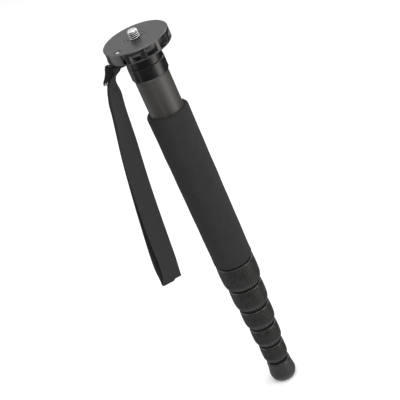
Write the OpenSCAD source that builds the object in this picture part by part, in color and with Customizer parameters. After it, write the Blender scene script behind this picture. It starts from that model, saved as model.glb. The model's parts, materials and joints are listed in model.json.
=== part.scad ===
// Folding camera monopod: six nested tubes, twist-lock rings, foam grip, round camera plate and wrist strap.
// The foot stands on Z = 0 and the tubes run along +Z, folded together. The strap hangs on the -X side.

/* [Camera plate] */
// Diameter of the camera plate
plate_d = 60; // [56:0.5:70]
// Thickness of the camera plate
plate_h = 11; // [9:0.5:14]
// Height of the smooth rim above the side pockets
plate_rim_h = 1.2; // [1.2:0.1:3]
// Height of the lip below the side pockets
plate_lip_h = 1.3; // [0.8:0.1:2]
// Depth of the side pockets at the lip
pocket_depth = 4.5; // [2:0.1:5]
// Depth of the side pockets at the rim
pocket_step = 0.3; // [0.2:0.1:1]
// Number of side pockets
pocket_count = 11; // [7:1:12]
// Half angle of the solid boss at the strap screw
boss_angle = 14.5; // [10:0.5:18]
// Angle from the middle of the boss to the first rib
rib_start = 24; // [22:0.5:28]
// Thickness of each rib at the plate's edge
rib_t = 3.8; // [1:0.1:5]
// Thickness of each rib at the pocket floor
rib_base_t = 10.4; // [6:0.1:11]
// Bevel on the edges of the plate
plate_bevel = 0.6; // [0.2:0.1:1]

/* [Camera stud] */
// Diameter of the stud on top
stud_d = 9.525; // [6:0.005:12]
// Height of the stud above the plate
stud_h = 8; // [6:0.5:16]
// Chamfer at the tip of each stud
stud_tip = 1.2; // [0.4:0.1:2]
// Diameter of the spare stud underneath
spare_stud_d = 6.35; // [4:0.05:8]
// Length of the spare stud
spare_stud_h = 9; // [4:0.5:11]
// Diameter of the stud's flange
flange_d = 20; // [16:0.5:24]
// Thickness of the stud's flange
flange_t = 2.5; // [1.5:0.1:3]
// Length of the two coin slots in the flange
coin_slot_l = 2.2; // [1:0.1:2.5]
// Wall between the stud and a coin slot
coin_slot_wall = 0.3; // [0.2:0.1:1]
// Direction of the coin slots round the stud
coin_slot_turn = 140; // [0:5:175]
// Width of the two coin slots in the flange
coin_slot_w = 2; // [1:0.1:3]
// Room round the spare stud and beyond its end
stud_room = 1; // [0.5:0.1:2]
// Depth of the coin slots
coin_slot_depth = 1.2; // [0.5:0.1:1.4]

/* [Neck and collar] */
// Step from the upper tube out to the neck under the plate
neck_step = 1; // [0.5:0.1:3]
// Height of the neck
neck_h = 12; // [8:0.5:20]
// Diameter of the neck's spigot in the plate
spigot_d = 26; // [24:0.5:30]
// Depth of the spigot in the plate
spigot_h = 4; // [2:0.5:5]
// Depth of the plug in the upper tube
plug_depth = 20; // [12:1:30]
// Wall of the collar round the upper tube
collar_wall = 1.3; // [0.8:0.1:2.5]
// Height of the collar
collar_h = 13.5; // [8:0.5:24]
// Chamfer at the lower edge of the collar
collar_chamfer = 0.9; // [0.2:0.1:1.2]
// Groove between the neck and the collar
collar_gap = 0.5; // [0.2:0.1:1.5]

/* [Tubes] */
// Diameter of the upper tube
tube_d = 32; // [30:0.5:36]
// Drop in diameter from the upper tube to the second tube
first_step = 4; // [2.9:0.1:4.4]
// Drop in diameter between the later tubes
tube_step = 3; // [2.8:0.1:3.2]
// Wall of the tubes
tube_wall = 1; // [0.8:0.05:1.1]
// Length of bare tube between the grip and the collar
bare_tube_l = 37; // [20:0.1:60]
// Gap between the neck's plug and the top of the second tube
plug_gap = 2; // [1:0.5:5]
// Step down from the top of one tube to the top of the next
tube_top_step = 1.5; // [0.5:0.5:3]
// Length of the guide shims at the top of each sliding tube
shim_h = 30; // [15:1:40]
// Slit between the two halves of the guide shims
shim_slit = 2; // [1:0.5:5]

/* [Grip] */
// Length of the foam grip
grip_l = 171; // [120:1:220]
// Thickness of the foam at the top of the grip
grip_top_t = 4; // [3.2:0.1:6]
// Thickness of the foam at the bottom of the grip
grip_bottom_t = 3.3; // [2.6:0.1:6]
// Radius of the rounded top edge
grip_top_round = 3; // [1:0.1:3]
// Radius of the rounded bottom edge
grip_bottom_round = 1.2; // [0.5:0.1:2]

/* [Lock rings] */
// Height of the first lock ring
ring_1_h = 27.9; // [24:0.1:36]
// Height of the second lock ring
ring_2_h = 25.5; // [22:0.1:34]
// Height of the third lock ring
ring_3_h = 23.2; // [22:0.1:32]
// Height of the fourth lock ring
ring_4_h = 22.4; // [21:0.1:30]
// Height of the fifth lock ring
ring_5_h = 21.4; // [21:0.1:30]
// Thickness from a tube's surface to the widest part of its lock ring
ring_wall = 3.5; // [3.4:0.1:5]
// Thickness of the rubber on the lock rings
ring_rubber_t = 1.3; // [1:0.1:1.4]
// How far the barrel shape draws in at the top of a ring
barrel_drop = 0.7; // [0.5:0.1:1]
// Height of a ring's widest part as a share of the ring's height
belly_share = 0.58; // [0.5:0.01:0.65]
// How far the heel of a ring draws in at the bottom
heel = 2.6; // [1.8:0.1:2.8]
// Height of the heel
heel_h = 7.4; // [4:0.1:9]
// Thickness of the rubber lip on top of a ring
ring_lip_t = 1.6; // [1:0.1:3]
// Spacing of the grip ribs round a lock ring
rib_pitch = 2.75; // [2:0.05:5]
// Width of the grooves between the ribs
groove_w = 1.1; // [0.5:0.05:1.5]
// Depth of the grooves at the widest part
groove_depth = 0.5; // [0.2:0.05:0.6]
// Gap between one ring and the next
ring_gap = 1.7; // [0.5:0.1:2.2]
// Wall of the threaded ferrule on a tube's end
ferrule_t = 1; // [0.6:0.05:1]
// Height of a tube's end above the bottom of its ring
seat_h = 9; // [7:0.5:12]
// Height of the mouth at the bottom of a ring
mouth_h = 2; // [1:0.1:3]
// Wall of the split collet at its thin end
collet_t = 1; // [0.7:0.05:1.1]
// Height of the uncut band at the top of the split collet
collet_band = 2; // [1:0.1:3]
// Number of slits in the split collet
collet_slits = 4; // [2:1:8]
// Width of the collet's slits
collet_slit_w = 1; // [0.5:0.1:2]

/* [Foot] */
// Height of the rubber foot
foot_h = 22.5; // [21:0.5:32]
// Thickness from the last tube's surface to the foot's top edge
foot_wall = 3.8; // [3:0.1:5]
// How far the foot's widest part stands out past its top edge
foot_flare = 1.5; // [0.5:0.1:4]
// How far the flat under the foot draws in from the widest part
foot_inset = 4.8; // [2:0.1:5]
// Height of the widest part of the foot
foot_belly_z = 8.5; // [5:0.5:11]
// Sharpness of the sweep from the foot's widest part to its top
foot_sweep = 1.6; // [1.2:0.1:2.5]
// Height of the tube's end in the foot
foot_seat_z = 13; // [12.6:0.1:15]
// Thickness of the foot plug's flange under the tube
plug_flange_t = 1.6; // [1:0.1:2]
// Length of the foot plug in the tube
foot_plug_l = 20; // [14:1:30]
// Diameter of the stud that holds the foot
foot_stud_d = 8; // [5:0.5:8.5]
// Length of the stud that holds the foot
foot_stud_l = 21; // [18:0.5:24]
// Width across the flats of the nut in the foot
foot_nut_w = 13; // [12.6:0.1:14]
// Thickness of the nut in the foot
foot_nut_t = 5.6; // [3:0.1:5.8]
// Rubber below the nut in the foot
foot_sole_t = 4.2; // [4:0.1:4.4]

/* [Wrist strap] */
// Length of the strap from its pin to the fold
strap_l = 213; // [120:1:300]
// Width of the strap at its pin
strap_top_w = 7; // [6:0.5:11]
// Width across both layers of the strap at the fold
strap_w = 22; // [16:0.5:30]
// Thickness of the webbing
strap_t = 1.5; // [1:0.1:2.5]
// How far the strap stands out at the fold
strap_lean = 37; // [10:1:60]
// How early the strap leans out: 1 is an even lean
strap_bow = 0.58; // [0.5:0.01:1]
// Direction of the strap round the tube
strap_turn = 160; // [150:1:170]
// Length of the sewn end between the layers
sewn_l = 14; // [8:1:30]
// Distance of the strap screw from the edge of the plate
strap_screw_edge = 5.5; // [3.6:0.1:6.5]
// Diameter of the strap screw's shank
strap_screw_d = 3; // [2.5:0.1:3.6]
// Diameter of the strap screw's head
strap_head_d = 5.4; // [4.6:0.1:5.6]
// Thickness of the strap screw's head
strap_head_t = 2; // [1:0.1:2.5]
// Depth of the screw head below the plate's top
strap_head_drop = 2.5; // [1:0.1:4]
// Thickness of the strap screw's flange under the link
strap_flange_t = 0.8; // [0.6:0.1:2]
// Thickness of the strap link
link_t = 1.2; // [1:0.1:2.5]
// Width of the strap link
link_w = 6; // [5:0.5:8]
// Reach of the strap link along X from the screw to the pin
link_reach_x = 0; // [-8:0.5:2]
// Reach of the strap link along Y from the screw to the pin
link_reach_y = 12; // [11:0.5:20]
// Thickness of the link's cheeks at the ends of the pin
cheek_t = 1; // [0.8:0.1:2.5]
// Ledge of the link past its cheeks
link_ledge = 0.2; // [0.1:0.1:1]
// Diameter of the strap's pin
strap_pin_d = 2.4; // [1.6:0.1:3]

/* [Clearances] */
// Radial gap of a bonded joint
bond = 0.05; // [0.02:0.01:0.08]
// Radial gap of a sliding or turning fit
run_fit = 0.06; // [0.03:0.01:0.1]
// Gap between parts that move past each other
free_gap = 0.3; // [0.3:0.05:0.4]
// Gap between the mouth of a ring and the tube in it
mouth_gap = 0.5; // [0.3:0.1:0.6]

/* [Hidden] */
$fn = 96;
tube_count = 6;
ring_count = tube_count - 1;
eps = 1;
arc_facets = 720;
profile_steps = 8;
ring_heights = [ring_1_h, ring_2_h, ring_3_h, ring_4_h, ring_5_h];

// Radii of tube k, counted from the top
function tube_r(k) = k == 1 ? tube_d / 2 : (tube_d - first_step - tube_step * (k - 2)) / 2;
function tube_bore(k) = tube_r(k) - tube_wall;

// Heights, worked up from the ground
function ring_h(i) = ring_heights[i - 1];
function ring_z(i) = i == ring_count ? foot_h + ring_gap : ring_z(i + 1) + ring_h(i + 1) + ring_gap;
function ring_top(i) = ring_z(i) + ring_h(i);
function seat_z(i) = ring_z(i) + seat_h;
grip_z = ring_top(1) + ring_gap;
collar_z = grip_z + grip_l + bare_tube_l;
neck_z = collar_z + collar_h + collar_gap;
plate_z = neck_z + neck_h;
plate_top = plate_z + plate_h;
plug_z = neck_z - plug_depth;
neck_r = tube_d / 2 + neck_step;
function tube_top(k) = k == 1 ? neck_z : plug_z - plug_gap - tube_top_step * (k - 2);
function tube_end(k) = k == tube_count ? foot_seat_z : seat_z(k);

// Radii of the pieces in lock ring i
function ring_r(i) = tube_r(i) + ring_wall;
function core_r(i) = ring_r(i) - ring_rubber_t;
function core_bore(i) = tube_r(i) + ferrule_t + free_gap;
function core_base_r(i) = tube_r(i) + free_gap;
function collet_top_r(i) = tube_r(i) + ferrule_t / 2;
function collet_base_r(i) = tube_r(i + 1) + collet_t;
core_taper_h = heel_h - ring_rubber_t;

// Points on a quarter-round from angle a to angle b
function arc(c, r, a, b) =
    [for (j = [0:profile_steps]) let (w = a + (b - a) * j / profile_steps) c + r * [cos(w), sin(w)]];

module turned(points) {
    rotate_extrude()
        polygon(points);
}

module sleeve(r_in, r_out, z_low, z_high) {
    translate([0, 0, z_low])
        difference() {
            cylinder(r = r_out, h = z_high - z_low);
            translate([0, 0, -eps])
                cylinder(r = r_in, h = z_high - z_low + 2 * eps);
        }
}

// Camera plate
strap_screw_r = plate_d / 2 - strap_screw_edge;
rib_angle = (360 - 2 * rib_start) / pocket_count;
floor_r = plate_d / 2 - pocket_depth;
pocket_top = plate_top - plate_rim_h;
pocket_base = plate_z + plate_lip_h;
pocket_h = pocket_top - pocket_base;
pocket_curl = pocket_depth - pocket_step;
pocket_round = (pow(pocket_h, 2) + pow(pocket_curl, 2)) / (2 * pocket_curl);
head_seat_z = plate_top - strap_head_drop - strap_head_t;
flange_seat_z = plate_top - flange_t;

// Rib in plan: narrow at the plate's edge, wide at the floor of the pockets
module rib_plan() {
    floor_x = sqrt(pow(floor_r, 2) - pow(rib_base_t / 2, 2)) - bond;
    polygon([
        [0, -rib_base_t / 2], [floor_x, -rib_base_t / 2], [plate_d / 2, -rib_t / 2], [plate_d, -rib_t / 2],
        [plate_d, rib_t / 2], [plate_d / 2, rib_t / 2], [floor_x, rib_base_t / 2], [0, rib_base_t / 2]
    ]);
}

// The floor of the pockets curls in from the rim down to the lip
module side_pockets() {
    difference() {
        rotate_extrude()
            difference() {
                translate([floor_r, pocket_base])
                    square([pocket_depth + eps, pocket_h]);
                translate([plate_d / 2 - pocket_step - pocket_round, pocket_top])
                    circle(r = pocket_round, $fn = arc_facets);
            }
        translate([0, 0, pocket_base - eps])
            linear_extrude(plate_h) {
                for (j = [0:pocket_count])
                    rotate(180 + rib_start + rib_angle * j)
                        rib_plan();
                // the boss that carries the strap screw stays solid
                polygon([[0, 0], for (s = [-1, 1]) plate_d * [-cos(boss_angle), s * sin(boss_angle)]]);
            }
    }
}

module camera_plate() {
    color("#6c6d6e")
        difference() {
            turned([
                [0, plate_z], [plate_d / 2 - plate_bevel, plate_z], [plate_d / 2, plate_z + plate_bevel],
                [plate_d / 2, plate_top - plate_bevel], [plate_d / 2 - plate_bevel, plate_top], [0, plate_top]
            ]);
            side_pockets();
            // recess for the stud's flange
            translate([0, 0, flange_seat_z - bond])
                cylinder(d = flange_d + 2 * run_fit, h = plate_h);
            // way through for the spare stud
            translate([0, 0, plate_z - eps])
                cylinder(d = spare_stud_d + 2 * stud_room, h = plate_h);
            // socket for the neck's spigot
            translate([0, 0, plate_z - eps])
                cylinder(d = spigot_d + 2 * bond, h = spigot_h + eps);
            // counterbored hole for the strap screw
            translate([-strap_screw_r, 0, head_seat_z])
                cylinder(d = strap_head_d + 2 * free_gap, h = plate_h);
            translate([-strap_screw_r, 0, plate_z - eps])
                cylinder(d = strap_screw_d + 2 * bond, h = plate_h);
        }
}

module camera_stud() {
    stud_top = plate_top + stud_h;
    spare_end = flange_seat_z - spare_stud_h;
    color("#c9cacc")
        difference() {
            turned([
                [0, spare_end], [spare_stud_d / 2 - stud_tip, spare_end],
                [spare_stud_d / 2, spare_end + stud_tip],
                [spare_stud_d / 2, flange_seat_z], [flange_d / 2, flange_seat_z], [flange_d / 2, plate_top],
                [stud_d / 2, plate_top], [stud_d / 2, stud_top - stud_tip],
                [stud_d / 2 - stud_tip, stud_top], [0, stud_top]
            ]);
            for (s = [0, 180])
                rotate(coin_slot_turn + s)
                    translate([stud_d / 2 + coin_slot_wall, -coin_slot_w / 2, plate_top - coin_slot_depth])
                        cube([coin_slot_l, coin_slot_w, coin_slot_depth + eps]);
        }
}

// Neck, collar, grip and tubes
module neck_plug() {
    bore_r = spare_stud_d / 2 + stud_room;
    bore_z = flange_seat_z - spare_stud_h - stud_room;
    color("#1b1b1c")
        turned([
            [0, plug_z], [tube_bore(1) - bond, plug_z], [tube_bore(1) - bond, neck_z], [neck_r, neck_z],
            [neck_r, plate_z], [spigot_d / 2, plate_z], [spigot_d / 2, plate_z + spigot_h],
            [bore_r, plate_z + spigot_h], [bore_r, bore_z], [0, bore_z]
        ]);
}

module top_collar() {
    r_in = tube_r(1) + bond;
    r_out = tube_r(1) + collar_wall;
    z_high = collar_z + collar_h;
    color("#0e0e0f")
        turned([
            [r_in, collar_z], [r_out - collar_chamfer, collar_z], [r_out, collar_z + 2 * collar_chamfer],
            [r_out, z_high - collar_gap], [r_out - collar_gap, z_high], [r_in, z_high]
        ]);
}

module tube(k) {
    color("#3a3836")
        sleeve(tube_bore(k), tube_r(k), tube_end(k), tube_top(k));
}

module foam_grip() {
    r_in = tube_r(1) + bond;
    z_high = grip_z + grip_l;
    low = [tube_r(1) + grip_bottom_t - grip_bottom_round, grip_z + grip_bottom_round];
    high = [tube_r(1) + grip_top_t - grip_top_round, z_high - grip_top_round];
    color("#2c2c2d")
        turned(concat(
            [[r_in, grip_z]],
            arc(low, grip_bottom_round, -90, 0),
            arc(high, grip_top_round, 0, 90),
            [[r_in, z_high]]
        ));
}

// Two half shells round the top of tube k, which slide in tube k - 1
module guide_shims(k) {
    r_out = tube_bore(k - 1) - run_fit;
    z_low = tube_top(k) - shim_h;
    color("#111112")
        difference() {
            sleeve(tube_r(k) + bond, r_out, z_low, tube_top(k));
            translate([-2 * r_out, -shim_slit / 2, z_low - eps])
                cube([4 * r_out, shim_slit, shim_h + 2 * eps]);
        }
}

// Twist locks: ferrule on the tube, split collet, ring and its ribbed rubber
module ferrule(i) {
    color("#8a8b8d")
        sleeve(tube_r(i) + bond, tube_r(i) + ferrule_t, seat_z(i), ring_top(i) - ring_lip_t - ring_gap);
}

module collet(i) {
    z_low = ring_z(i) + mouth_h + free_gap;
    z_high = seat_z(i) - bond;
    r_in = tube_r(i + 1) + run_fit;
    color("#d8d6cf")
        difference() {
            turned([[r_in, z_low], [collet_base_r(i), z_low], [collet_top_r(i), z_high], [r_in, z_high]]);
            for (j = [0:collet_slits - 1])
                rotate(360 * j / collet_slits)
                    translate([0, -collet_slit_w / 2, z_low - eps])
                        cube([2 * tube_r(i), collet_slit_w, seat_h - mouth_h - collet_band + eps]);
        }
}

module lock_ring(i) {
    z_low = ring_z(i);
    z_high = ring_top(i) - ring_lip_t;
    mouth_r = tube_r(i + 1) + mouth_gap;
    color("#5a5b5d")
        turned([
            [mouth_r, z_low], [core_base_r(i), z_low], [core_r(i), z_low + core_taper_h], [core_r(i), z_high],
            [core_bore(i), z_high], [core_bore(i), seat_z(i)], [collet_top_r(i) + free_gap, seat_z(i)],
            [collet_base_r(i) + free_gap, z_low + mouth_h], [mouth_r, z_low + mouth_h]
        ]);
}

// Barrel section of the rubber: a wide arc, drawn in at the heel, with a lip over the ring's top
module ring_grip_section(i) {
    z_low = ring_z(i);
    z_high = ring_top(i);
    belly_z = z_low + ring_h(i) * belly_share;
    rise = z_high - belly_z;
    barrel_r = (rise * rise + barrel_drop * barrel_drop) / (2 * barrel_drop);
    lip_r = tube_r(i) + free_gap;
    skin_r = core_r(i) + bond;
    skin_z = z_high - ring_lip_t + bond;
    difference() {
        intersection() {
            polygon([
                [lip_r, z_low], [ring_r(i) - heel, z_low], [ring_r(i), z_low + heel_h], [ring_r(i), z_high],
                [lip_r, z_high]
            ]);
            translate([ring_r(i) - barrel_r, belly_z])
                circle(r = barrel_r, $fn = arc_facets);
        }
        polygon([
            [0, z_low - eps], [core_base_r(i) + bond, z_low - eps], [core_base_r(i) + bond, z_low],
            [skin_r, z_low + core_taper_h], [skin_r, skin_z], [0, skin_z]
        ]);
    }
}

module ring_grip(i) {
    ribs = round(2 * PI * ring_r(i) / rib_pitch);
    color("#2a2a2b")
        difference() {
            rotate_extrude()
                ring_grip_section(i);
            for (j = [0:ribs - 1])
                rotate(360 * j / ribs)
                    translate([ring_r(i) - groove_depth, -groove_w / 2, ring_z(i)])
                        cube([groove_depth + eps, groove_w, ring_h(i)]);
        }
}

// Foot
nut_z = foot_sole_t;
stud_z = nut_z + free_gap;
plug_end = foot_seat_z - plug_flange_t;
socket_z = plug_end - free_gap;
foot_top_r = tube_r(tube_count) + foot_wall;
foot_r = foot_top_r + foot_flare;

module foot_plug() {
    color("#9a9b9d")
        difference() {
            turned([
                [0, plug_end], [tube_r(tube_count), plug_end], [tube_r(tube_count), foot_seat_z],
                [tube_bore(tube_count) - bond, foot_seat_z],
                [tube_bore(tube_count) - bond, foot_seat_z + foot_plug_l], [0, foot_seat_z + foot_plug_l]
            ]);
            translate([0, 0, stud_z])
                cylinder(d = foot_stud_d + 2 * bond, h = foot_stud_l + bond);
        }
}

module foot_stud() {
    color("#c4c5c7")
        turned([
            [0, stud_z], [foot_stud_d / 2 - stud_tip, stud_z], [foot_stud_d / 2, stud_z + stud_tip],
            [foot_stud_d / 2, stud_z + foot_stud_l], [0, stud_z + foot_stud_l]
        ]);
}

module foot_nut() {
    color("#b5b6b8")
        translate([0, 0, nut_z])
            difference() {
                cylinder(d = foot_nut_w / cos(30), h = foot_nut_t, $fn = 6);
                translate([0, 0, -eps])
                    cylinder(d = foot_stud_d + 2 * run_fit, h = foot_nut_t + 2 * eps);
            }
}

// Foot outline: a round edge up to the belly, then an easy sweep in to the top
module rubber_foot() {
    belly = [
        for (j = [0:profile_steps]) let (a = 90 * j / profile_steps)
            [foot_r - foot_inset * (1 - sin(a)), foot_belly_z * (1 - cos(a))]
    ];
    flank = [
        for (j = [1:profile_steps]) let (t = j / profile_steps)
            [foot_top_r + foot_flare * pow(1 - t, foot_sweep), foot_belly_z + (foot_h - foot_belly_z) * t]
    ];
    color("#2f2f30")
        difference() {
            turned(concat([[0, 0]], belly, flank, [[0, foot_h]]));
            translate([0, 0, socket_z])
                cylinder(r = tube_r(tube_count) + free_gap, h = foot_h);
            translate([0, 0, nut_z])
                cylinder(d = foot_stud_d + 2 * free_gap, h = foot_h);
            translate([0, 0, nut_z - bond])
                cylinder(d = (foot_nut_w + 2 * bond) / cos(30), h = foot_nut_t + 2 * bond, $fn = 6);
        }
}

// Wrist strap: screw in the plate, link under it, webbing loop on the link's pin
link_top = plate_z - free_gap;
link_z = link_top - link_t;
loop_r = strap_pin_d / 2 + free_gap;
pin_z = link_z - free_gap - loop_r - strap_t;
pin_at = [link_reach_x - strap_screw_r, link_reach_y, pin_z];
cheek_x = strap_top_w / 2 + free_gap;

module strap_screw() {
    foot_z = link_z - free_gap;
    color("#d0d1d3")
        translate([-strap_screw_r, 0, 0])
            turned([
                [0, foot_z - strap_flange_t], [strap_head_d / 2, foot_z - strap_flange_t],
                [strap_head_d / 2, foot_z],
                [strap_screw_d / 2, foot_z], [strap_screw_d / 2, head_seat_z],
                [strap_head_d / 2, head_seat_z],
                [strap_head_d / 2, head_seat_z + strap_head_t], [0, head_seat_z + strap_head_t]
            ]);
}

module strap_link() {
    reach = norm([link_reach_x, link_reach_y]);
    turn = atan2(link_reach_y, link_reach_x);
    yoke_l = 2 * (cheek_x + cheek_t + link_ledge);
    color("#8f9092")
        difference() {
            union() {
                translate([-strap_screw_r, 0, link_z])
                    linear_extrude(link_t) {
                        circle(d = link_w);
                        rotate(turn)
                            translate([0, -link_w / 2 + bond])
                                square([reach, link_w - 2 * bond]);
                        translate([link_reach_x, link_reach_y])
                            rotate(strap_turn)
                                square([yoke_l, link_w], center = true);
                    }
                translate(pin_at)
                    rotate(strap_turn) {
                        for (s = [-1, 1])
                            translate([s * (cheek_x + cheek_t / 2) - cheek_t / 2, -strap_pin_d, -strap_pin_d])
                                cube([cheek_t, 2 * strap_pin_d, link_z - pin_z + strap_pin_d + link_t / 2]);
                        translate([-cheek_x - cheek_t / 2, 0, 0])
                            rotate([0, 90, 0])
                                cylinder(d = strap_pin_d, h = 2 * cheek_x + cheek_t);
                    }
            }
            translate([-strap_screw_r, 0, link_z - eps])
                cylinder(d = strap_screw_d + 2 * run_fit, h = link_t + 2 * eps);
        }
}

// Side view of the loop: two layers joined round the pin and at the fold
module strap_loop_side(r) {
    circle(r = r);
    translate([0, -strap_l])
        circle(r = r);
    translate([-r, -strap_l])
        square([2 * r, strap_l]);
}

// Front view of the strap: bunched between the link's cheeks, then opening out quickly and leaning outwards
strap_steps = 12;
strap_neck = 2 * strap_pin_d;
function strap_half_w(t) = (strap_top_w + (strap_w - strap_top_w) * sqrt(t)) / 2;
function strap_middle(t) = strap_lean * pow(t, strap_bow);
function strap_point(t, side, reach) = [strap_middle(t) + side * strap_half_w(t), -strap_neck - reach * t];

module strap_front() {
    reach = strap_l + loop_r + strap_t + eps - strap_neck;
    top = loop_r + strap_t + eps;
    shares = [for (j = [0:strap_steps]) pow(j / strap_steps, 2)];
    polygon(concat(
        [[-strap_top_w / 2, top]],
        [for (j = [0:strap_steps]) strap_point(shares[j], -1, reach)],
        [for (j = [strap_steps:-1:0]) strap_point(shares[j], 1, reach)],
        [[strap_top_w / 2, top]]
    ));
}

module place_strap() {
    translate(pin_at)
        rotate(strap_turn)
            children();
}

// Everything within the strap's front view
strap_span = strap_lean + strap_w;
module strap_slab() {
    translate([0, strap_span, 0])
        rotate([90, 0, 0])
            linear_extrude(2 * strap_span)
                strap_front();
}

module strap_webbing() {
    color("#2b2b2c")
        place_strap()
            intersection() {
                translate([-strap_span, 0, 0])
                    rotate([90, 0, 90])
                        linear_extrude(2 * strap_span)
                            difference() {
                                strap_loop_side(loop_r + strap_t);
                                strap_loop_side(loop_r);
                            }
                strap_slab();
            }
}

// The cut ends of the webbing, lapped and sewn between the two layers
module strap_sewn_end() {
    top = loop_r + free_gap;
    color("#1f1f20")
        place_strap()
            intersection() {
                translate([-strap_span, -loop_r + bond, -top - sewn_l])
                    cube([2 * strap_span, 2 * (loop_r - bond), sewn_l]);
                strap_slab();
            }
}

camera_plate();
camera_stud();
neck_plug();
top_collar();
foam_grip();
for (k = [1:tube_count]) tube(k);
for (k = [2:tube_count]) guide_shims(k);
for (i = [1:ring_count]) ferrule(i);
for (i = [1:ring_count]) collet(i);
for (i = [1:ring_count]) lock_ring(i);
for (i = [1:ring_count]) ring_grip(i);
foot_plug();
foot_stud();
foot_nut();
rubber_foot();
strap_screw();
strap_link();
strap_webbing();
strap_sewn_end();
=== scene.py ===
import json
import math

import bmesh
import bpy
import numpy as np
from mathutils import Matrix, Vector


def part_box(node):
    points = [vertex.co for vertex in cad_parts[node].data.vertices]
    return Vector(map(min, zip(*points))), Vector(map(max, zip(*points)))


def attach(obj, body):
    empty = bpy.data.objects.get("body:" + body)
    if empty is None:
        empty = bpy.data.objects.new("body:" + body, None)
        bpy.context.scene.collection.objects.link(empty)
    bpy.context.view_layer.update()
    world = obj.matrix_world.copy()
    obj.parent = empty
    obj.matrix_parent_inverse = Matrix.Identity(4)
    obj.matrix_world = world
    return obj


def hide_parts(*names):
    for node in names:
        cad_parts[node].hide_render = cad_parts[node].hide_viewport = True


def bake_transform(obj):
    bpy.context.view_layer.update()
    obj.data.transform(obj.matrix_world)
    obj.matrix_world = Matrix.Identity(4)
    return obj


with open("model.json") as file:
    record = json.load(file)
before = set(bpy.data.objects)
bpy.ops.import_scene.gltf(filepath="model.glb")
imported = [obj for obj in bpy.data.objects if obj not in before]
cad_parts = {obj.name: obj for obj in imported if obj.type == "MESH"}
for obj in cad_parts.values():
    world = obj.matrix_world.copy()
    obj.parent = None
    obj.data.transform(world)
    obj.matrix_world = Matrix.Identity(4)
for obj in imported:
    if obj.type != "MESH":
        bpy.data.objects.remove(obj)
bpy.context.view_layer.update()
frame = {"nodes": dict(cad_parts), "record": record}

nodes = frame["nodes"]
mm = 0.001
print("frame loaded:", len(nodes), "nodes")

# camera, floor and soft boxes
shot = {
    "lens": 108.0, "sensor": 36.0, "frame": 400,  # 1200 pixels of focal length in a 400 pixel frame
    "azimuth": 230.0, "elevation": 28.01, "roll": -24.04,
    "distance": 1.1048, "aimHeight": 0.248, "aimPixel": (197.5, 178.1),
}
studio = {
    "floorSize": 60.0, "floorColour": (0.93, 0.93, 0.93, 1),
    "skyColour": (1.0, 1.0, 1.0, 1), "skyStrength": 0.95, "underStrength": 0.04, "groundStrength": 1.5,
    "horizon": (-0.05, 0.35), "below": (-0.92, -0.72),  # heights between which the sky changes
    # degrees round from the camera, degrees up, distance, width, height, watts, colour
    "boxes": {
        "rightBox": (57, 0, 1.25, 0.75, 1.9, 9.0, (1.0, 0.975, 0.94)),
        "leftBox": (-100, 0, 1.35, 1.5, 1.9, 8.0, (0.97, 0.985, 1.0)),
        "topBox": (20, 70, 1.5, 1.3, 1.3, 9.0, (1.0, 1.0, 1.0)),
        "rimBox": (122, 25, 1.3, 0.5, 1.2, 5.0, (1.0, 1.0, 1.0)),
    },
}


# the camera's axes: turned down by the elevation, rolled, then swung so that the aim point falls on its pixel
def makeCamera():
    focal = shot["lens"] / shot["sensor"] * shot["frame"]
    e, r = math.radians(shot["elevation"]), math.radians(shot["roll"])
    forward = np.array([0.0, math.cos(e), -math.sin(e)])
    right = np.array([1.0, 0.0, 0.0])
    up = np.cross(right, forward)
    rows = np.stack([math.cos(r) * right + math.sin(r) * up, math.sin(r) * right - math.cos(r) * up, forward])
    half = shot["frame"] / 2
    ray = np.array([(shot["aimPixel"][0] - half) / focal, (shot["aimPixel"][1] - half) / focal, 1.0])
    ray /= np.linalg.norm(ray)
    axis = np.cross([0, 0, 1.0], ray)
    skew = np.array([[0, -axis[2], axis[1]], [axis[2], 0, -axis[0]], [-axis[1], axis[0], 0]])
    rows = (np.eye(3) + skew + skew @ skew / (1 + ray[2])) @ rows
    far = shot["distance"]
    place = np.array([0.0, -far * math.cos(e), shot["aimHeight"] + far * math.sin(e)])
    turn = np.array(Matrix.Rotation(math.radians(shot["azimuth"] - 270), 3, "Z"))
    matrix = np.eye(4)
    matrix[:3, :3] = turn @ np.stack([rows[0], -rows[1], -rows[2]], 1)
    matrix[:3, 3] = turn @ place
    data = bpy.data.cameras.new("photoCamera")
    data.lens, data.sensor_width, data.sensor_fit = shot["lens"], shot["sensor"], "HORIZONTAL"
    data.clip_start, data.clip_end = 0.05, 60
    camera = bpy.data.objects.new("photoCamera", data)
    camera.matrix_world = Matrix(matrix.tolist())
    bpy.context.scene.collection.objects.link(camera)
    bpy.context.scene.camera = camera


# a soft box on a sphere round the object, facing its middle
def softBox(name, around, up, distance, width, height, watts, colour):
    a, e = math.radians(shot["azimuth"] + around), math.radians(up)
    away = np.array([math.cos(a) * math.cos(e), math.sin(a) * math.cos(e), math.sin(e)])
    data = bpy.data.lights.new(name, "AREA")
    data.shape, data.size, data.size_y = "RECTANGLE", width, height
    data.energy, data.color = watts, colour
    light = bpy.data.objects.new(name, data)
    side = np.cross([0, 0, 1.0], away)
    side /= np.linalg.norm(side)
    matrix = np.eye(4)
    matrix[:3, 0], matrix[:3, 1], matrix[:3, 2] = side, np.cross(away, side), away
    matrix[:3, 3] = away * distance + np.array([0, 0, shot["aimHeight"]])
    light.matrix_world = Matrix(matrix.tolist())
    light.visible_camera = False
    bpy.context.scene.collection.objects.link(light)


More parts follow.
